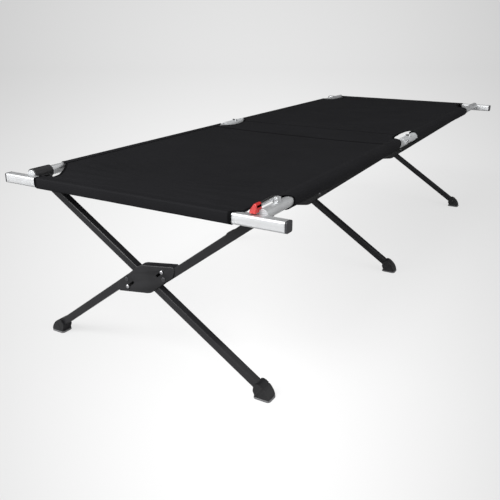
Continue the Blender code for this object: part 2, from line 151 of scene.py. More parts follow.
# ---- shader groups ---------------------------------------------------------------------------------------
class Nodes:
    """Adds shader nodes to a tree and joins them."""

    def __init__(self, tree):
        self.tree = tree

    def add(self, kind, **inputs):
        node = self.tree.nodes.new(kind)
        for name, value in inputs.items():
            if name.startswith("_"):
                setattr(node, name[1:], value)
            else:
                self.feed(node.inputs[name.replace("_", " ")], value)
        return node

    def feed(self, socket, value):
        if isinstance(value, bpy.types.NodeSocket):
            self.tree.links.new(value, socket)
        else:
            socket.default_value = value

    def maths(self, operation, *values):
        node = self.tree.nodes.new("ShaderNodeMath")
        node.operation = operation
        for socket, value in zip(node.inputs, values):
            self.feed(socket, value)
        return node.outputs[0]

    def plus(self, first, second):
        return self.maths("ADD", first, second)

    def minus(self, first, second):
        return self.maths("SUBTRACT", first, second)

    def times(self, first, second):
        return self.maths("MULTIPLY", first, second)

    def scaled(self, vector, scale):
        return self.add("ShaderNodeVectorMath", _operation="SCALE", Vector=vector, Scale=scale).outputs["Vector"]

    def noise(self, vector, scale, detail, **more):
        return self.add("ShaderNodeTexNoise", Vector=vector, Scale=scale, Detail=detail, **more).outputs["Fac"]

    def mix(self, share, low, high):
        node = self.tree.nodes.new("ShaderNodeMix")
        node.data_type = "RGBA"
        for socket, value in ((node.inputs[0], share), (node.inputs[6], low), (node.inputs[7], high)):
            self.feed(socket, value)
        return node.outputs[2]


def new_group(name, inputs, outputs):
    """A shader group with named sockets; inputs are (name, kind, default), outputs (name, kind)."""
    tree = bpy.data.node_groups.new(name, "ShaderNodeTree")
    kinds = {"float": "NodeSocketFloat", "colour": "NodeSocketColor", "vector": "NodeSocketVector"}
    for label, kind, default in inputs:
        socket = tree.interface.new_socket(name=label, in_out="INPUT", socket_type=kinds[kind])
        if default is not None:
            socket.default_value = default
    for label, kind in outputs:
        tree.interface.new_socket(name=label, in_out="OUTPUT", socket_type=kinds[kind])
    nodes = Nodes(tree)
    return nodes, tree.nodes.new("NodeGroupInput").outputs, tree.nodes.new("NodeGroupOutput").inputs


def group_node(nodes, name, **inputs):
    node = nodes.tree.nodes.new("ShaderNodeGroup")
    node.node_tree = bpy.data.node_groups[name]
    for label, value in inputs.items():
        nodes.feed(node.inputs[label.replace("_", " ")], value)
    return node


def build_woven_group():
    """Plain weave from cloth coordinates in metres."""
    n, given, out = new_group("Plain weave", [("Cloth", "vector", None), ("Threads per metre", "float", 900.0),
                                              ("Colour", "colour", (0.02, 0.02, 0.02, 1)),
                                              ("Contrast", "float", 0.25)],
                              [("Colour", "colour"), ("Height", "float")])
    split = n.add("ShaderNodeSeparateXYZ", Vector=given["Cloth"])
    turns = n.times(given["Threads per metre"], math.pi)
    across = n.maths("SINE", n.times(split.outputs["X"], turns))
    along = n.maths("SINE", n.times(split.outputs["Y"], turns))
    over = n.maths("GREATER_THAN", n.times(across, along), 0.0)
    warp, weft = n.maths("ABSOLUTE", across), n.maths("ABSOLUTE", along)
    height = n.plus(n.times(over, warp), n.times(n.minus(1.0, over), weft))
    fibre = n.noise(given["Cloth"], 700.0, 2.0)
    mottled = n.noise(given["Cloth"], 6.0, 4.0, Roughness=0.55)
    thread = n.times(n.minus(n.plus(n.times(height, 0.5), fibre), 0.75), given["Contrast"])
    tone = n.plus(thread, n.times(n.minus(mottled, 0.5), 0.45))
    n.feed(out["Colour"], n.scaled(given["Colour"], n.plus(1.0, tone)))
    n.feed(out["Height"], height)


def build_stitch_group():
    """One row of stitches at a distance across the cloth, running along it."""
    thread_share, dip_reach = 0.72, 0.0022
    n, given, out = new_group("Stitch row", [("Cloth", "vector", None), ("Row", "float", 0.004),
                                             ("Pitch", "float", 0.0036), ("Width", "float", 0.0006)],
                              [("Mask", "float"), ("Height", "float")])
    split = n.add("ShaderNodeSeparateXYZ", Vector=given["Cloth"])
    away = n.maths("ABSOLUTE", n.minus(split.outputs["X"], given["Row"]))
    near = n.maths("LESS_THAN", away, given["Width"])
    step = n.maths("FRACT", n.maths("DIVIDE", split.outputs["Y"], given["Pitch"]))
    mask = n.times(near, n.maths("LESS_THAN", step, thread_share))
    dip = n.minus(1.0, n.maths("MINIMUM", n.maths("DIVIDE", away, dip_reach), 1.0))
    n.feed(out["Mask"], mask)
    n.feed(out["Height"], n.minus(n.times(mask, 1.3), dip))


def build_grain_group():
    """Fine surface grain with a slow change of tone, for coatings and moulded plastic."""
    n, given, out = new_group("Surface grain", [("Place", "vector", None), ("Grain per metre", "float", 1800.0),
                                                ("Colour", "colour", (0.02, 0.02, 0.02, 1)),
                                                ("Tone", "float", 0.2), ("Roughness", "float", 0.4)],
                              [("Colour", "colour"), ("Roughness", "float"), ("Height", "float")])
    fine = n.noise(given["Place"], given["Grain per metre"], 2.0)
    slow = n.noise(given["Place"], 14.0, 5.0, Roughness=0.6)
    change = n.minus(slow, 0.5)
    tone = n.plus(1.0, n.times(change, n.times(given["Tone"], 2.0)))
    n.feed(out["Colour"], n.scaled(given["Colour"], tone))
    rough = n.plus(given["Roughness"], n.times(change, 0.25))
    n.feed(out["Roughness"], n.plus(rough, n.times(n.minus(fine, 0.5), 0.10)))
    n.feed(out["Height"], fine)


def build_drawn_group():
    """Faint draw lines along a metal section, with handling marks."""
    n, given, out = new_group("Drawn metal", [("Place", "vector", None),
                                              ("Lines", "vector", (600.0, 6.0, 600.0)),
                                              ("Colour", "colour", (0.85, 0.86, 0.87, 1)),
                                              ("Roughness", "float", 0.3)],
                              [("Colour", "colour"), ("Roughness", "float"), ("Height", "float")])
    stretched = n.add("ShaderNodeVectorMath", _operation="MULTIPLY", Vector=given["Place"])
    n.feed(stretched.inputs[1], given["Lines"])
    lines = n.noise(stretched.outputs["Vector"], 1.0, 3.0)
    marks = n.noise(given["Place"], 35.0, 6.0, Roughness=0.65)
    streak, dull = n.minus(lines, 0.5), n.minus(marks, 0.5)
    tone = n.plus(1.0, n.plus(n.times(streak, 0.10), n.times(dull, 0.08)))
    n.feed(out["Colour"], n.scaled(given["Colour"], tone))
    rough = n.plus(n.times(streak, 0.22), n.times(dull, 0.2))
    n.feed(out["Roughness"], n.plus(given["Roughness"], rough))
    n.feed(out["Height"], lines)


# ---- finishes --------------------------------------------------------------------------------------------
def new_finish(name, **constants):
    """A material with its shader's constants set; returns (material, nodes, shader)."""
    mat = bpy.data.materials.new(name)
    mat.use_nodes = True
    shader = mat.node_tree.nodes["Principled BSDF"]
    for label, value in constants.items():
        shader.inputs[label.replace("_", " ")].default_value = value
    return mat, Nodes(mat.node_tree), shader


def place_of(nodes):
    return nodes.add("ShaderNodeTexCoord").outputs["Object"]


def bump_of(nodes, height, strength, distance, under=None):
    """The normal of a bump, laid over another one where there is one."""
    bump = nodes.add("ShaderNodeBump", Strength=strength, Distance=distance, Height=height)
    if under is not None:
        nodes.feed(bump.inputs["Normal"], under)
    return bump.outputs["Normal"]


def lay_on(nodes, shader, surface, strength, distance):
    """Joins a surface group's colour, roughness and height to the shader."""
    nodes.feed(shader.inputs["Base Color"], surface.outputs["Colour"])
    nodes.feed(shader.inputs["Roughness"], surface.outputs["Roughness"])
    nodes.feed(shader.inputs["Normal"], bump_of(nodes, surface.outputs["Height"], strength, distance))


def grained_finish(name, colour, roughness, grain, tone, distance, strength, **constants):
    mat, n, shader = new_finish(name, **constants)
    surface = group_node(n, "Surface grain", Place=place_of(n), Grain_per_metre=grain, Colour=(*colour, 1),
                         Tone=tone, Roughness=roughness)
    lay_on(n, shader, surface, strength, distance)
    return mat


def plate_finish(name, colour):
    """Powder coat with painted shade: darker, rougher and without its coat on faces that look down."""
    painted_shade_tone, coat_weight = 0.12, 0.4
    mat = grained_finish(name, colour, 0.42, 900.0, 0.5, 0.00012, 0.5, Specular_IOR_Level=0.15,
                         Coat_Roughness=0.2)
    n = Nodes(mat.node_tree)
    shader = mat.node_tree.nodes["Principled BSDF"]
    coat = shader.inputs["Base Color"].links[0].from_socket
    painted_underside_shade = n.add("ShaderNodeAttribute", _attribute_name="underside").outputs["Fac"]
    n.feed(shader.inputs["Base Color"], n.mix(painted_underside_shade, coat, (*[painted_shade_tone * c for c in colour], 1)))
    rough = shader.inputs["Roughness"].links[0].from_socket
    n.feed(shader.inputs["Roughness"], n.maths("MAXIMUM", rough, painted_underside_shade))
    n.feed(shader.inputs["Coat Weight"], n.times(n.minus(1.0, painted_underside_shade), coat_weight))
    return mat


def drawn_finish(name, colour, roughness, lines):
    mat, n, shader = new_finish(name, Metallic=1.0)
    surface = group_node(n, "Drawn metal", Place=place_of(n), Lines=lines, Colour=(*colour, 1),
                         Roughness=roughness)
    lay_on(n, shader, surface, 0.15, 0.00005)
    return mat


def cloth_finish(name, colour, edge, rows=()):
    """Woven cloth, dark where the piece's own attribute marks its bound edges and the strip of painted shade along
    the cross seam, with rows of stitches.
    """
    thread_colour, thread_cover = (0.03, 0.03, 0.032, 1), 0.6
    mat, n, shader = new_finish(name, Specular_IOR_Level=0.05)
    cloth = n.add("ShaderNodeUVMap", _uv_map="cloth").outputs["UV"]
    weave = group_node(n, "Plain weave", Cloth=cloth, Threads_per_metre=900.0, Colour=(*colour, 1),
                       Contrast=0.35)
    tape = n.add("ShaderNodeAttribute", _attribute_name="tape").outputs["Fac"]
    # Bound edges take the edge colour; along the cross seam the same colour is painted shade.
    shade = n.mix(tape, weave.outputs["Colour"], (*edge, 1))
    normal = None
    for row in rows:
        stitch = group_node(n, "Stitch row", Cloth=cloth, Row=row)
        shade = n.mix(n.times(stitch.outputs["Mask"], thread_cover), shade, thread_colour)
        normal = bump_of(n, stitch.outputs["Height"], 0.5, 0.0006, normal)
    n.feed(shader.inputs["Base Color"], shade)
    n.feed(shader.inputs["Roughness"], n.plus(0.62, n.times(n.noise(cloth, 9.0, 4.0), 0.16)))
    n.feed(shader.inputs["Normal"], bump_of(n, weave.outputs["Height"], 0.30, 0.00025, normal))
    return mat


def build_finishes(settings, bed):
    metal = tuple(settings.aluminium_colour)
    black = tuple(settings.plastic_colour)
    cloth, tape = tuple(bed.cloth_colour), tuple(bed.binding_and_seam_shade_colour)
    return {
        "coated_steel": grained_finish("Powder-coated steel", tuple(settings.steel_colour), 0.36, 1500.0, 0.25,
                                       0.00008, 0.30, Specular_IOR_Level=0.1, Coat_Weight=0.42,
                                       Coat_Roughness=0.12),
        "plate_steel": plate_finish("Pressed plate coating", tuple(settings.steel_colour)),
        "rail_metal": drawn_finish("Drawn aluminium rail", metal, 0.5, (500.0, 5.0, 500.0)),
        "bar_metal": drawn_finish("Drawn aluminium bar", metal, 0.5, (5.0, 500.0, 500.0)),
        "bright_strip": drawn_finish("Bright aluminium strip", (0.92, 0.92, 0.93), 0.22, (700.0, 8.0, 700.0)),
        "black_plastic": grained_finish("Moulded black plastic", black, 0.48, 1400.0, 0.3, 0.0001, 0.35),
        "cap_plastic": grained_finish("Cap plastic", tuple(3.8 * c for c in black), 0.5, 1400.0, 0.2, 0.0001,
                                      0.3),
        "hinge_plastic": grained_finish("Hinge cover grey", tuple(settings.hinge_colour), 0.42, 1600.0, 0.08,
                                        0.00008, 0.25),
        "dark_rivet": grained_finish("Blackened rivet", (0.09, 0.09, 0.095), 0.35, 900.0, 0.3, 0.00008, 0.3,
                                     Metallic=0.8),
        "zinc": grained_finish("Zinc-plated steel", (0.62, 0.62, 0.64), 0.30, 900.0, 0.25, 0.00008, 0.3,
                               Metallic=1.0),
        "handle_red": grained_finish("Red handle plastic", tuple(settings.handle_colour), 0.38, 1500.0, 0.15,
                                     0.00008, 0.25, Coat_Weight=0.15, Coat_Roughness=0.3),
        "sole_rubber": grained_finish("Sole rubber", (0.15, 0.15, 0.155), 0.6, 1200.0, 0.25, 0.00012, 0.4),
        "bed_cloth": cloth_finish("Bed cloth", cloth, tape),
        "sleeve_cloth": cloth_finish("Sleeve cloth", cloth, tape, (0.003, 0.010)),
    }


# ---- mesh tools ------------------------------------------------------------------------------------------
def make_piece(name, bm, finish, body, stands_for=(), sharp=35.0, even=True):
    """A finished piece at the origin, with its place in its mesh."""
    mesh = bpy.data.meshes.new(name)
    bm.to_mesh(mesh)
    bm.free()
    mesh.materials.clear()
    mesh.materials.append(FINISHES[finish])
    mesh.shade_smooth()
    mesh.set_sharp_from_angle(angle=math.radians(sharp))
    obj = bpy.data.objects.new(name, mesh)
    bpy.context.scene.collection.objects.link(obj)
    if even:
        weight = obj.modifiers.new("even shading", "WEIGHTED_NORMAL")
        weight.keep_sharp = True
    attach(obj, body)
    if stands_for:
        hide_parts(*stands_for)
    return obj


def from_solid(node):
    """The CAD solid's shape as a clean bmesh, its triangles joined into flat faces."""
    bm = bmesh.new()
    bm.from_mesh(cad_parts[node].data)
    bmesh.ops.remove_doubles(bm, verts=bm.verts, dist=2e-6)
    bmesh.ops.dissolve_limit(bm, angle_limit=math.radians(1.0), verts=bm.verts, edges=bm.edges)
    return bm


def bend_edges(bm, least):
    """The edges where the surface bends by more than an angle in degrees."""
    return [e for e in bm.edges if e.is_manifold and e.calc_face_angle(0.0) > math.radians(least)]


def upright_edges(bm):
    return [e for e in bm.edges if abs((e.verts[0].co - e.verts[1].co).normalized().z) > 0.9]


def bevel(bm, edges, offset, segments, clamp=True):
    bmesh.ops.bevel(bm, geom=edges, offset=offset, offset_type="OFFSET", segments=segments, profile=0.5,
                    affect="EDGES", clamp_overlap=clamp, material=-1)


def round_edges(bm, radius, segments=2, least=30.0):
    bevel(bm, bend_edges(bm, least), radius, segments)
    bmesh.ops.dissolve_degenerate(bm, dist=1e-6, edges=bm.edges)


def extrude_by(bm, faces, move):
    """Extrudes faces and moves the new ends."""
    grown = bmesh.ops.extrude_face_region(bm, geom=faces)
    ends = [v for v in grown["geom"] if isinstance(v, bmesh.types.BMVert)]
    bmesh.ops.translate(bm, vec=move, verts=ends)


def refine(node, finish, body, radius, segments=2):
    """The CAD solid with softly rounded edges."""
    bm = from_solid(node)
    round_edges(bm, radius, segments)
    make_piece(f"{node}_finished", bm, finish, body, (node,))


def facing(axis, side=(0, 1, 0)):
    """Rotation whose local Z runs along an axis, with local Y kept near another direction."""
    z = Vector(axis).normalized()
    x = Vector(side).cross(z).normalized()
    return Matrix((x, z.cross(x), z)).transposed().to_4x4()


def box_tube(start, end, size, corner, wall, depth=0.02):
    """A square tube with rounded corners and open mouths."""
    start, end = Vector(start), Vector(end)
    bm = bmesh.new()
    bmesh.ops.create_cube(bm, size=1.0)
    bmesh.ops.scale(bm, vec=(size, size, (end - start).length), verts=bm.verts)
    bevel(bm, upright_edges(bm), corner, 4)
    mouths = [f for f in bm.faces if abs(f.normal.z) > 0.9]
    bmesh.ops.inset_individual(bm, faces=mouths, thickness=wall, use_even_offset=True)
    for face in mouths:
        extrude_by(bm, [face], -face.normal * depth)
        if face.is_valid:
            bmesh.ops.delete(bm, geom=[face], context="FACES_ONLY")
    bmesh.ops.transform(bm, matrix=Matrix.Translation((start + end) / 2) @ facing(end - start), verts=bm.verts)
    return bm


def round_bar(start, end, radius, sides, edge):
    """A round bar with softened rims."""
    start, end = Vector(start), Vector(end)
    bm = bmesh.new()
    bmesh.ops.create_cone(bm, cap_ends=True, segments=sides, radius1=radius, radius2=radius,
                          depth=(end - start).length)
    bevel(bm, bend_edges(bm, 60.0), edge, 2)
    side = (0, 1, 0) if abs((end - start).normalized().y) < 0.9 else (0, 0, 1)
    bmesh.ops.transform(bm, matrix=Matrix.Translation((start + end) / 2) @ facing(end - start, side),
                        verts=bm.verts)
    return bm


def join(target, other):
    """Adds one bmesh's geometry to another."""
    mesh = bpy.data.meshes.new("joining")
    other.to_mesh(mesh)
    other.free()
    target.from_mesh(mesh)
    bpy.data.meshes.remove(mesh)


def run_lengths(points):
    """The distance travelled along a line at each of its points."""
    lengths = [0.0]
    for a, b in zip(points, points[1:]):
        lengths.append(lengths[-1] + (b - a).length)
    return lengths


def unit(value):
    """The value, kept between 0 and 1."""
    return min(max(value, 0.0), 1.0)


def smooth_table(table, reach, position):
    """A line through (position, value) points, rounded over a reach."""
    keys, values = zip(*table)
    spread = np.linspace(-reach, reach, 9)
    return float(np.interp(position + spread, keys, values).mean())


# ---- the bed ---------------------------------------------------------------------------------------------
LEFT_EDGE = ((-1.026, -0.262), (-1.010, -0.263), (-0.981, -0.279), (-0.949, -0.305), (-0.932, -0.322),
             (-0.178, -0.322), (-0.160, -0.312), (-0.143, -0.301), (-0.120, -0.291), (-0.090, -0.287),
             (-0.060, -0.292), (-0.035, -0.305), (-0.012, -0.317), (0.006, -0.322), (0.793, -0.322),
             (0.806, -0.305), (0.830, -0.285), (0.870, -0.275), (0.930, -0.281), (0.980, -0.300),
             (1.024, -0.340))
RIGHT_EDGE = ((-1.031, 0.309), (-1.018, 0.311), (-1.000, 0.312), (-0.985, 0.313), (-0.968, 0.315),
              (-0.955, 0.318), (-0.944, 0.322), (-0.116, 0.322), (-0.100, 0.317), (-0.080, 0.312), (-0.030, 0.311),
              (0.035, 0.312), (0.050, 0.317), (0.062, 0.322), (0.803, 0.322), (0.845, 0.309),
              (0.885, 0.299), (0.950, 0.290), (1.024, 0.285))
BAR_SPAN = {"near": (-0.303, 0.284), "far": (-0.366, 0.284)}
SEAM_Y = -0.213
SEAM_SKEW = -0.040
# Half the width of the strip of painted shade along the cross seam.
SEAM_SHADE_HALF_WIDTH = 0.0042
BED_COLUMNS = 72
HEM_COLUMNS = 4
HEM_STEP = 0.0024
HEM_WIDTH = 3.1 * HEM_STEP
OPEN_GAP = 0.0008


def seam_ripple(x, y):
    """The small ripples that the bed and its sleeves share along a seam."""
    return noise.noise(Vector((math.copysign(3.0, x), y * 26.0, 0.3)))


def bed_height(x, y, bed):
    """Height of the stretched cloth: level along the seams, lower in the middle and towards the bars."""
    end = 1.0 if y > 0 else -1.0
    toward_bar = unit((abs(y) - 0.900) / 0.130)
    height = bed.rim_z - 0.0092 * toward_bar ** 1.6
    across = 1.0 - min(abs(x) / bed.seam_x, 1.0) ** 2
    off_hinge = min(abs(y - HINGE_Y) / 0.11, 1.0)
    along = (1.0 - min(abs(y) / 1.03, 1.0) ** 6) * off_hinge ** 2 * (3.0 - 2.0 * off_hinge)
    height -= bed.sag * across ** 0.8 * along
    near_seam = math.exp(-(bed.seam_x - abs(x)) / 0.030)
    height += bed.pucker * near_seam * seam_ripple(x, y)
    slack = noise.noise(Vector((x * 4.5, y * 2.4, 1.7))) + 0.5 * noise.noise(Vector((x * 10.0, y * 4.0, 5.1)))
    height += 0.0009 * slack * across ** 0.5 * along
    corner = Vector((abs(x) - 0.27, abs(y) - 0.95))
    pull = math.exp(-corner.length_squared / 0.028)
    fold = math.sin(math.atan2(corner.y + 0.02 * end, corner.x + 0.35) * 46.0)
    return height + 0.0007 * pull * fold * across ** 0.3


def bed_path(end):
    """Stations along the cloth from its seam under the bar, round the bar and on to the hinge line, as (y, z)
    with z None on the open bed."""
    way = -1.0 if end == "near" else 1.0
    low, high = BAR_BOX[end]
    slack = 0.0016
    inner, outer = (high.y, low.y) if way < 0 else (low.y, high.y)
    wrap = [(inner - way * 0.018, high.z - 0.0005), (inner - way * 0.006, low.z + 0.006),
            (inner + way * 0.001, low.z - slack)]
    wrap += [(inner + (outer - inner) * t, low.z - slack - 0.0006 * math.sin(math.pi * t))
             for t in (0.15, 0.35, 0.55, 0.75, 0.88)]
    radius = 0.0045
    middle = Vector((outer - way * (radius - slack), low.z + radius - slack))
    wrap += [(middle.x + way * radius * math.sin(a), middle.y - radius * math.cos(a))
             for a in np.radians((15, 40, 65, 90))]
    wrap += [(outer + way * (slack + 0.0004), low.z + (high.z - low.z) * t) for t in (0.35, 0.5, 0.65)]
    middle = Vector((outer - way * (radius - slack), high.z - radius + slack))
    wrap += [(middle.x + way * radius * math.cos(a), middle.y + radius * math.sin(a))
             for a in np.radians((0, 25, 50, 75, 90))]
    wrap += [(outer + (inner - outer) * t, high.z + slack) for t in (0.35, 0.55, 0.75, 0.92)]
    plain = []
    y = inner - way * 0.0025
    while abs(y - HINGE_Y) > 0.004:
        plain.append((y, None))
        fine = abs(y) > 0.78 or -0.20 < y < 0.08 or abs(y - SEAM_Y) < 0.012
        gap = 0.004 if fine else 0.010
        if abs(y - SEAM_Y) < 0.008:
            gap = 0.0016
        y -= way * gap
        if (y - HINGE_Y) * way <= 0.0:
            break
    plain.append((HINGE_Y, None))
    return wrap + plain


def column_x(index, count, left, right):
    """Columns are close together at both edges, for the hems, and even between them."""
    hem = HEM_COLUMNS * HEM_STEP
    if index <= HEM_COLUMNS:
        return left + index * HEM_STEP
    if index >= count - HEM_COLUMNS:
        return right - (count - index) * HEM_STEP
    return left + hem + (right - left - 2 * hem) * (index - HEM_COLUMNS) / (count - 2 * HEM_COLUMNS)


def cloth_grid(columns, rows):
    """A grid with layers for the cloth's own coordinates and for its bound edges."""
    bm = bmesh.new()
    bmesh.ops.create_grid(bm, x_segments=columns, y_segments=rows, size=0.5)
    return bm, bm.loops.layers.uv.new("cloth"), bm.verts.layers.float.new("tape")


def lay_flat(bm, uv, flat):
    """Writes each vertex's place on the flat cloth to its corners."""
    for face in bm.faces:
        for loop in face.loops:
            loop[uv].uv = flat[loop.vert]


def bed_panel(end, bed):
    """One half of the bed, in one piece with the sleeve round its end bar."""
    path = bed_path(end)
    rows = len(path) - 1
    lines = [Vector((y, z if z is not None else bed_height(0.2, y, bed))) for y, z in path]
    travelled = run_lengths(lines)
    bm, uv, tape = cloth_grid(BED_COLUMNS, rows)
    flat = {}
    for vert in bm.verts:
        i, j = round((vert.co.x + 0.5) * BED_COLUMNS), round((vert.co.y + 0.5) * rows)
        y, z = path[j]
        on_bar = z is not None
        if on_bar:
            left, right = BAR_SPAN[end]
            if j == 0:
                left = max(left, -0.262)
            corner = unit((z - BAR_BOX[end][0].z) / 0.007)
            left += 0.006 * (1.0 - corner) ** 2
            if z > BAR_BOX[end][1].z and end == "near":
                right += 0.025 * unit((y - BAR_BOX[end][0].y) / 0.020) ** 2
        else:
            left, right = smooth_table(LEFT_EDGE, 0.008, y), smooth_table(RIGHT_EDGE, 0.008, y)
        x = column_x(i, BED_COLUMNS, left, right)
        near_seam = math.exp(-((y - SEAM_Y) / 0.06) ** 2)
        here = y if on_bar else y + SEAM_SKEW * x * near_seam
        if on_bar:
            z += 0.0003 * noise.noise(Vector((x * 30.0, y * 60.0, z * 60.0)))
        else:
            z = bed_height(x, here, bed)
            z += 0.0012 * (1.0 - unit((abs(y - SEAM_Y) - 0.0035) / 0.0012))
        left_open = on_bar or left > -bed.seam_x + OPEN_GAP
        right_open = on_bar or right < bed.seam_x - OPEN_GAP
        bound = (left_open and x - left < HEM_WIDTH) or (right_open and right - x < HEM_WIDTH)
        # Painted shade: a dark strip along the cross seam stands in for the shade in the seam's fold; the seam's
        # small ridge above is real shape.
        seam_painted_shade = not on_bar and abs(y - SEAM_Y) < SEAM_SHADE_HALF_WIDTH
        vert[tape] = 1.0 if bound or seam_painted_shade else 0.0
        if bound and not on_bar:
            z += 0.0004
        vert.co = (x, here, z)
        flat[vert] = (x, travelled[j])
    lay_flat(bm, uv, flat)
    body = "left_rail_near" if end == "near" else "left_rail_far"
    obj = make_piece(f"bed_{end}", bm, "bed_cloth", body, (f"fabric_{end}",), sharp=70.0, even=False)
    thicken(obj, bed.cloth_thick)
    return obj


def thicken(obj, thickness):
    solid = obj.modifiers.new("cloth thickness", "SOLIDIFY")
    solid.thickness = thickness
    solid.offset = -1.0
    obj.modifiers.new("even shading", "WEIGHTED_NORMAL")


# Sleeve section from the top seam over the rail and back to the under seam, about the rail's centre.
SLEEVE = ((-0.0215, 0.0143), (-0.0160, 0.0147), (-0.0100, 0.0150), (-0.0045, 0.0147), (0.0010, 0.0142),
          (0.0062, 0.0128), (0.0104, 0.0098), (0.0132, 0.0056), (0.0142, 0.0006), (0.0136, -0.0050),
          (0.0112, -0.0100), (0.0072, -0.0135), (0.0022, -0.0150), (-0.0034, -0.0144), (-0.0084, -0.0112),
          (-0.0128, -0.0056), (-0.0166, 0.0012), (-0.0196, 0.0070), (-0.0214, 0.0112))
# Where each sleeve's mouths lie, from the top seam round to the under seam.
MOUTHS = {
    ("right", "near"): ((-0.947, -0.921, -0.909, -0.914, -0.930, -0.950, -0.950),
                        (-0.110, -0.124, -0.142, -0.166, -0.172, -0.160, -0.130)),
    ("right", "far"): ((0.058, 0.044, 0.030, 0.016, 0.014, 0.030, 0.050),
                       (0.806, 0.803, 0.802, 0.800, 0.796, 0.800, 0.806)),
    ("left", "near"): ((-0.934, -0.922, -0.914, -0.912, -0.915, -0.925, -0.934),
                       (-0.172, -0.140, -0.122, -0.112, -0.110, -0.130, -0.165)),
    ("left", "far"): ((0.004, 0.020, 0.032, 0.038, 0.038, 0.030, 0.010),
                      (0.796, 0.802, 0.806, 0.806, 0.800, 0.796, 0.794)),
}


def sleeve(side, label, half, bed):
    """Cloth wrapped round one half of a rail and sewn to the bed's edge."""
    around, along = 44, 150
    edge_rows, step = 4, 0.002
    inner = edge_rows * step
    section = [Vector(p) for p in SLEEVE]
    section_x, section_z = [p.x for p in section], [p.y for p in section]
    lengths = run_lengths(section)
    first, last = MOUTHS[(label, half)]
    marks = np.linspace(0.0, 1.0, len(first))
    bm, uv, tape = cloth_grid(around, along)
    flat = {}
    for vert in bm.verts:
        a = vert.co.x + 0.5
        row = round((vert.co.y + 0.5) * along)
        reach = a * lengths[-1]
        dx = float(np.interp(reach, lengths, section_x))
        dz = float(np.interp(reach, lengths, section_z))
        low = float(np.interp(a, marks, first))
        high = float(np.interp(a, marks, last))
        if row <= edge_rows:
            y = low + row * step
        elif row >= along - edge_rows:
            y = high - (along - row) * step
        else:
            y = low + inner + (high - low - 2 * inner) * (row - edge_rows) / (along - 2 * edge_rows)
        away = Vector((dx, dz))
        hang = max(0.0, -dz) / 0.015
        free = min(1.0, (y - low) / 0.03, (high - y) / 0.03)
        wave = noise.noise(Vector((y * 11.0, side * 2.0, a * 1.5)))
        wave += 0.5 * noise.noise(Vector((y * 30.0, a * 3.0, side)))
        away += away.normalized() * (0.0011 * wave + 0.0006) * hang * (0.4 + 0.6 * max(free, 0.0))
        away.y -= 0.0022 * hang * (0.5 + 0.5 * math.sin(y * 9.0 + side))
        seam = math.exp(-reach / 0.012)
        away.y += bed.pucker * seam * seam_ripple(side, y)
        bound = min(y - low, high - y) < 2.6 * step
        vert[tape] = 1.0 if bound else 0.0
        if bound:
            away += away.normalized() * 0.0003
        vert.co = (side * (RAIL_X + away.x), y, RAIL_Z + away.y)
        flat[vert] = (reach, y)
    lay_flat(bm, uv, flat)
    obj = make_piece(f"sleeve_{label}_{half}", bm, "sleeve_cloth", f"{label}_rail_{half}", (),
                     sharp=70.0, even=False)
    thicken(obj, bed.cloth_thick)
    return obj


# ---- operators -------------------------------------------------------------------------------------------
FINISHES = {}


class CotOperator:
    bl_options = {"REGISTER", "UNDO"}


class COT_OT_finishes(CotOperator, bpy.types.Operator):
    """Build the shared shader groups and every finish"""
    bl_idname = "cot.finishes"
    bl_label = "Finishes"

    def execute(self, context):
        build_woven_group()
        build_stitch_group()
        build_grain_group()
        build_drawn_group()
        FINISHES.update(build_finishes(context.scene.cot_frame, context.scene.cot_bed))
        return {"FINISHED"}


class COT_OT_rails(CotOperator, bpy.types.Operator):
    """Build the round side rails with their end plugs and pegs"""
    bl_idname = "cot.rails"
    bl_label = "Side rails"

    def execute(self, context):
        bar_gap, wall, mouth_depth = 0.0012, 0.0008, 0.03
        plug_out, plug_in = 0.0009, 0.004
        peg_out, peg_in, peg_z, peg_radius = 0.014, 0.006, 0.455, 0.0035
        for side, label in SIDES:
            for half in ENDS:
                low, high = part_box(f"rail_{label}_{half}")
                bar = BAR_BOX[half]
                start, end = low.y, high.y
                if half == "near":
                    start = bar[1].y + bar_gap
                    plug = (start - plug_out, start + plug_in)
                else:
                    end = bar[0].y - bar_gap
                    plug = (end - plug_in, end + plug_out)
                make_piece(f"rail_{label}_{half}_plug",
                           round_bar(*((side * RAIL_X, y, RAIL_Z) for y in plug), RAIL_R - 0.0007, 48, 0.0005),
                           "hinge_plastic", f"{label}_rail_{half}")
                bm = round_bar((side * RAIL_X, start, RAIL_Z), (side * RAIL_X, end, RAIL_Z), RAIL_R, 64, wall)
                mouth = end if half == "near" else start
                disc = [f for f in bm.faces if abs(f.calc_center_median().y - mouth) < 1e-4]
                bmesh.ops.inset_individual(bm, faces=disc, thickness=wall)
                extrude_by(bm, disc, (0, -mouth_depth if half == "near" else mouth_depth, 0))
                if label == "left":
                    peg = (-peg_out, peg_in) if half == "near" else (-peg_in, peg_out)
                    at = start if half == "near" else end
                    join(bm, round_bar(*((side * RAIL_X, at + y, peg_z) for y in peg), peg_radius, 24, 0.0004))
                make_piece(f"rail_{label}_{half}_tube", bm, "rail_metal", f"{label}_rail_{half}",
                           (f"rail_{label}_{half}",))
        return {"FINISHED"}


class COT_OT_end_bars(CotOperator, bpy.types.Operator):
    """Build the box-section end bars and their caps"""
    bl_idname = "cot.end_bars"
    bl_label = "End bars"

    def execute(self, context):
        for end in ENDS:
            low, high = BAR_BOX[end]
            y, z = (low.y + high.y) / 2, (low.z + high.z) / 2
            bm = box_tube((low.x, y, z), (high.x, y, z), high.z - low.z, 0.004, 0.002)
            body = f"end_bar_{end}_body"
            make_piece(f"end_bar_{end}_tube", bm, "bar_metal", body, (f"end_bar_{end}",))
            for _, label in SIDES:
                refine(f"end_cap_{end}_{label}", "cap_plastic", body, 0.0009, 3)
        return {"FINISHED"}


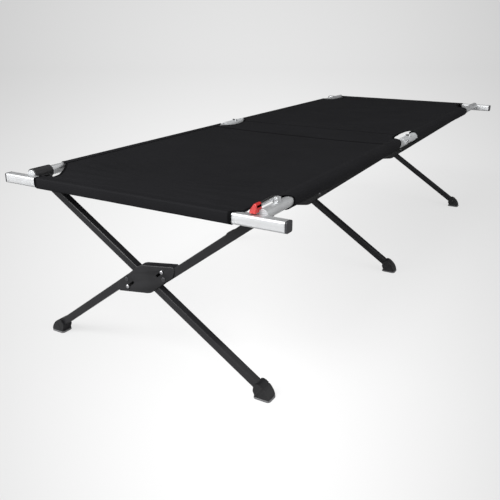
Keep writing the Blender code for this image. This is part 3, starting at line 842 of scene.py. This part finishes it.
class COT_OT_legs(CotOperator, bpy.types.Operator):
    """Round and finish the leg tubes, hub plates, rivets and lock bolts"""
    bl_idname = "cot.legs"
    bl_label = "Leg frames"

    def execute(self, context):
        edge = context.scene.cot_frame.edge_radius
        for k in FRAMES:
            for node, body in ((f"long_leg_{k}", f"leg_a_{k}"), (f"upper_half_leg_{k}", f"leg_b_upper_{k}"),
                               (f"lower_half_leg_{k}", f"leg_b_lower_{k}")):
                bm = from_solid(node)
                corners = [e for e in bend_edges(bm, 60.0) if e.is_convex and e.calc_length() > 0.04]
                bevel(bm, corners, 0.0018, 3, clamp=False)
                make_piece(f"{node}_finished", bm, "coated_steel", body, (node,), sharp=40.0)
            for face in ("front", "back"):
                bm = from_solid(f"hub_plate_{face}_{k}")
                roll_rim(bm, face)
                round_edges(bm, edge, 2, 60.0)
                bm.normal_update()
                # Painted shade: vertices of faces that look down get a darkening weight for the plate coating.
                shade = bm.verts.layers.float.new("underside")
                for vert in bm.verts:
                    vert[shade] = unit(-6.0 * vert.normal.z - 0.6)
                make_piece(f"hub_plate_{face}_{k}_finished", bm, "plate_steel", f"leg_a_{k}",
                           (f"hub_plate_{face}_{k}",))
            for place in ("upper", "lower"):
                refine(f"hub_rivet_{place}_{k}", "dark_rivet", f"leg_a_{k}", 0.0003)
                refine(f"lock_bolt_{place}_{k}", "zinc", f"lock_{place}_{k}", 0.0003)
        return {"FINISHED"}


def roll_rim(bm, face):
    """Rolls the outer rim of a pressed plate back, on the side that faces outward."""
    way = -1.0 if face == "front" else 1.0
    flat = [Vector((v.co.x, v.co.z)) for v in bm.verts]
    hull = [flat[i] for i in convex_hull_2d(flat)]
    outer = max(v.co.y * way for v in bm.verts)

    def on_rim(vert):
        if vert.co.y * way < outer - 0.0002:
            return False
        at = Vector((vert.co.x, vert.co.z))
        for a, b in zip(hull, hull[1:] + hull[:1]):
            near, share = intersect_point_line(at, a, b)
            if -0.01 <= share <= 1.01 and (Vector(near[:2]) - at).length < 0.0004:
                return True
        return False

    rim = [e for e in bend_edges(bm, 60.0) if all(on_rim(v) for v in e.verts)]
    bevel(bm, rim, 0.0023, 4, clamp=False)


class COT_OT_brackets(CotOperator, bpy.types.Operator):
    """Round and finish the rail brackets"""
    bl_idname = "cot.brackets"
    bl_label = "Brackets"

    def execute(self, context):
        for k in FRAMES:
            for _, label in SIDES:
                half = "far" if k == 3 else "near"
                refine(f"bracket_{label}_{k}", "black_plastic", f"{label}_rail_{half}", 0.0007)
        return {"FINISHED"}


class COT_OT_feet(CotOperator, bpy.types.Operator):
    """Build the shoes with their rims, grooves and soles"""
    bl_idname = "cot.feet"
    bl_label = "Feet"

    def execute(self, context):
        for k in FRAMES:
            for side, label in SIDES:
                body = f"leg_a_{k}" if side > 0 else f"leg_b_lower_{k}"
                shoe(side, label, k, body)
        return {"FINISHED"}


def shoe(side, label, k, body):
    """One foot: a shoe with a groove under its socket, on a rubber sole."""
    y = FRAME_Y[k]
    outline = [(0.3150, 0.0045), (0.3540, 0.0045), (0.3540, 0.0080), (0.3520, 0.0140), (0.3495, 0.0190),
               (0.3460, 0.0245), (0.3415, 0.0297), (0.3360, 0.0345), (0.3300, 0.0385), (0.3235, 0.0405),
               (0.3175, 0.0395), (0.3125, 0.0300), (0.3110, 0.0190), (0.3155, 0.0090)]
    half = 0.0165
    bm = bmesh.new()
    ring = [bm.verts.new((side * x, y - half, z)) for x, z in outline]
    face = bm.faces.new(ring)
    extrude_by(bm, [face], (0, 2 * half, 0))
    bmesh.ops.recalc_face_normals(bm, faces=bm.faces)
    # the groove between the socket and the shoe, square to the leg
    slope = Vector((0.84 * side, 0.0, -0.54)).normalized()
    groove = Vector((side * 0.3315, y, 0.0240))
    for shift in (-0.0012, 0.0012):
        bmesh.ops.bisect_plane(bm, geom=bm.verts[:] + bm.edges[:] + bm.faces[:],
                               plane_co=groove + slope * shift, plane_no=slope)
    band = [f for f in bm.faces if abs((f.calc_center_median() - groove).dot(slope)) < 0.0009]
    sides = [f for f in bm.faces if abs(f.normal.y) > 0.9 and f not in band]
    bmesh.ops.inset_region(bm, faces=band, thickness=0.0, depth=-0.0010, use_even_offset=True)
    bmesh.ops.inset_individual(bm, faces=sides, thickness=0.0034, depth=-0.0009, use_even_offset=True)
    round_edges(bm, 0.0008, 2, 34.0)
    make_piece(f"foot_{label}_{k}_shoe", bm, "black_plastic", body, (f"foot_{label}_{k}",))
    bm = bmesh.new()
    bmesh.ops.create_cube(bm, size=1.0)
    bmesh.ops.scale(bm, vec=(0.0450, 0.0368, 0.0044), verts=bm.verts)
    bmesh.ops.translate(bm, vec=(side * 0.3345, y, 0.0022), verts=bm.verts)
    bevel(bm, upright_edges(bm), 0.008, 6)
    round_edges(bm, 0.0006, 2, 60.0)
    make_piece(f"foot_{label}_{k}_sole", bm, "sole_rubber", body)


class COT_OT_hinges(CotOperator, bpy.types.Operator):
    """Round the rail hinges' covers and tongues and add their rivets"""
    bl_idname = "cot.hinges"
    bl_label = "Rail hinges"

    def execute(self, context):
        for side, label in SIDES:
            near, far = f"{label}_rail_near", f"{label}_rail_far"
            refine(f"hinge_housing_{label}", "hinge_plastic", near, 0.0008, 3)
            refine(f"hinge_tongue_{label}", "black_plastic", far, 0.0005)
            refine(f"hinge_pin_{label}", "zinc", near, 0.0003)
            for number, y in enumerate((HINGE_Y - 0.060, HINGE_Y - 0.044), start=1):
                out = Vector((side * 0.94, 0.0, 0.34)).normalized()
                at = Vector((side * RAIL_X, y, RAIL_Z)) + out * (RAIL_R + 0.0028)
                bm = round_bar(at, at + out * 0.0022, 0.0036, 24, 0.0009)
                make_piece(f"hinge_rivet_{label}_{number}", bm, "zinc", near)
        return {"FINISHED"}


class COT_OT_lever(CotOperator, bpy.types.Operator):
    """Round and finish the tension lever's mount, arm and handle"""
    bl_idname = "cot.lever"
    bl_label = "Tension lever"

    def execute(self, context):
        refine("lever_mount", "bar_metal", "right_rail_near", 0.0006)
        refine("lever_arm", "bright_strip", "lever", 0.0005)
        front, depth, lean_from = -1.0465, 0.0290, 0.4740
        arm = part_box("lever_arm")
        left, right = arm[0].x - 0.0058, arm[1].x
        outline = [(left, 0.4643), (left, 0.4690), (left + 0.0030, 0.4745), (left + 0.0065, 0.4820),
                   (left + 0.0085, 0.4846), (left + 0.0120, 0.4846), (right, 0.4823), (right, 0.4643)]
        bm = bmesh.new()
        face = bm.faces.new([bm.verts.new((x, front, z)) for x, z in outline])
        extrude_by(bm, [face], (0, depth, 0))
        bmesh.ops.recalc_face_normals(bm, faces=bm.faces)
        for vert in bm.verts:
            lift = max(0.0, vert.co.z - lean_from) / 0.0126
            vert.co.y += (0.0055 if vert.co.y < -1.03 else -0.0040) * lift
        round_edges(bm, 0.0014, 4, 40.0)
        make_piece("lever_handle_pull", bm, "handle_red", "lever", ("lever_handle",))
        return {"FINISHED"}


class COT_OT_bed(CotOperator, bpy.types.Operator):
    """Build the stretched cloth bed, in two halves that meet at the rail hinges"""
    bl_idname = "cot.bed"
    bl_label = "Bed cloth"

    def execute(self, context):
        bed = context.scene.cot_bed
        for end in ENDS:
            panel = bed_panel(end, bed)
            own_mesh(panel)
        return {"FINISHED"}


class COT_OT_sleeves(CotOperator, bpy.types.Operator):
    """Build the sleeves round the side rails"""
    bl_idname = "cot.sleeves"
    bl_label = "Rail sleeves"

    def execute(self, context):
        for side, label in SIDES:
            for half in ENDS:
                sleeve(side, label, half, context.scene.cot_bed)
        return {"FINISHED"}


class COT_OT_stage(CotOperator, bpy.types.Operator):
    """Set up the floor, light and camera"""
    bl_idname = "cot.stage"
    bl_label = "Stage"

    def execute(self, context):
        stage = context.scene.cot_stage
        floor, n, shader = new_finish("Pale floor", Roughness=0.9, Specular_IOR_Level=0.0)
        # Painted shade: the floor's colour darkens towards the edges of the main camera's view, reckoned from the
        # camera's place and turn.
        seen = n.add("ShaderNodeVectorMath", _operation="SUBTRACT", Vector=place_of(n))
        seen.inputs[1].default_value = VIEW_AT
        turned = VIEW_TURN.to_matrix()
        part = []
        for column in range(3):
            dot = n.add("ShaderNodeVectorMath", _operation="DOT_PRODUCT", Vector=seen.outputs["Vector"])
            dot.inputs[1].default_value = turned.col[column]
            part.append(dot.outputs["Value"])
        depth = n.maths("MAXIMUM", n.times(part[2], -1.0), 0.1)
        aside = n.maths("DIVIDE", part[0], depth)
        above = n.times(n.plus(n.maths("DIVIDE", part[1], depth), 0.165), 0.55)
        spread = n.maths("SQRT", n.plus(n.times(aside, aside), n.times(above, above)))
        share = n.maths("MINIMUM", n.times(spread, 0.637), 0.5)
        floor_painted_vignette = n.mix(share, (*stage.floor_colour, 1), (0, 0, 0, 1))
        # For camera rays the floor is darker in itself and glows with its own light, which hides the cast shadows
        # round the cot.
        direct = n.add("ShaderNodeLightPath").outputs["Is Camera Ray"]
        n.feed(shader.inputs["Base Color"], n.mix(n.plus(0.6, n.times(direct, 0.2)), floor_painted_vignette, (0, 0, 0, 1)))
        n.feed(shader.inputs["Emission Color"], floor_painted_vignette)
        n.feed(shader.inputs["Emission Strength"], n.times(direct, stage.glow))
        bm = bmesh.new()
        bmesh.ops.create_grid(bm, x_segments=1, y_segments=1, size=14.0)
        bmesh.ops.scale(bm, vec=(2.5, 1, 1), verts=bm.verts)
        bmesh.ops.translate(bm, vec=(0, -4.0, 0), verts=bm.verts)
        back = [e for e in bm.edges if all(v.co.y > 9.9 for v in e.verts)]
        bmesh.ops.spin(bm, geom=back + [v for e in back for v in e.verts], cent=(0, 10.0, 5.0), axis=(1, 0, 0),
                       angle=math.radians(90), steps=24)
        top = [e for e in bm.edges if all(v.co.y > 14.9 for v in e.verts)]
        grown = bmesh.ops.extrude_edge_only(bm, edges=top)
        raised = [v for v in grown["geom"] if isinstance(v, bmesh.types.BMVert)]
        bmesh.ops.translate(bm, vec=(0, 0, 12.0), verts=raised)
        bmesh.ops.remove_doubles(bm, verts=bm.verts, dist=1e-4)
        bmesh.ops.rotate(bm, cent=(0, 0, 0), matrix=Matrix.Rotation(VIEW_TURN.z, 3, "Z"), verts=bm.verts)
        mesh = bpy.data.meshes.new("floor")
        bm.to_mesh(mesh)
        bm.free()
        mesh.shade_smooth()
        mesh.materials.append(floor)
        sweep = bpy.data.objects.new("floor", mesh)
        context.scene.collection.objects.link(sweep)
        world = bpy.data.worlds.new("Studio fill")
        world.use_nodes = True
        background = world.node_tree.nodes["Background"]
        background.inputs["Color"].default_value = (1, 1, 1, 1)
        background.inputs["Strength"].default_value = stage.fill
        context.scene.world = world
        for name, at, aim, size, power in (
                ("overhead", (-0.6, -0.4, 4.2), (0, 0, 0.3), 4.5, stage.key * 0.10),
                ("high", (-0.3, -3.2, 3.5), (0, -0.8, 0.3), 1.3, stage.key * 0.22),
                ("front", (-2.2, -5.0, 2.4), (0, -0.6, 0.3), 4.5, stage.key),
                ("right", (4.6, -0.6, 1.6), (0.3, -0.3, 0.4), 3.0, stage.key * 0.35)):
            light = bpy.data.lights.new(name, "AREA")
            light.shape, light.size, light.energy = "SQUARE", size, power
            lamp = bpy.data.objects.new(name, light)
            lamp.location = at
            lamp.visible_camera = False
            lamp.rotation_euler = (Vector(aim) - Vector(at)).to_track_quat("-Z", "Y").to_euler()
            context.scene.collection.objects.link(lamp)
        camera = bpy.data.cameras.new("camera")
        camera.lens, camera.sensor_width = stage.lens, 36.0
        view = bpy.data.objects.new("camera", camera)
        view.location = VIEW_AT
        view.rotation_euler = VIEW_TURN
        context.scene.collection.objects.link(view)
        context.scene.camera = view
        context.scene.view_settings.view_transform = "Standard"
        return {"FINISHED"}


class COT_PT_panel(bpy.types.Panel):
    """The cot's settings and builders"""
    bl_label = "Camp cot"
    bl_space_type = "VIEW_3D"
    bl_region_type = "UI"
    bl_category = "Camp cot"

    def draw(self, context):
        for settings in (context.scene.cot_bed, context.scene.cot_frame, context.scene.cot_stage):
            box = self.layout.box()
            for name in settings.__annotations__:
                box.prop(settings, name)
        for operator in OPERATORS:
            self.layout.operator(operator.bl_idname)


SETTINGS = (CotBedSettings, CotFrameSettings, CotStageSettings)
OPERATORS = (COT_OT_finishes, COT_OT_stage, COT_OT_rails, COT_OT_end_bars, COT_OT_legs, COT_OT_brackets,
             COT_OT_feet, COT_OT_hinges, COT_OT_lever, COT_OT_bed, COT_OT_sleeves)


def register():
    for cls in (*SETTINGS, *OPERATORS, COT_PT_panel):
        bpy.utils.register_class(cls)
    bpy.types.Scene.cot_bed = bpy.props.PointerProperty(type=CotBedSettings)
    bpy.types.Scene.cot_frame = bpy.props.PointerProperty(type=CotFrameSettings)
    bpy.types.Scene.cot_stage = bpy.props.PointerProperty(type=CotStageSettings)


def unregister():
    del bpy.types.Scene.cot_stage, bpy.types.Scene.cot_frame, bpy.types.Scene.cot_bed
    for cls in reversed((*SETTINGS, *OPERATORS, COT_PT_panel)):
        bpy.utils.unregister_class(cls)


def main():
    register()
    for operator in OPERATORS:
        getattr(bpy.ops.cot, operator.bl_idname.split(".")[1])()


if __name__ == "__main__":
    main()
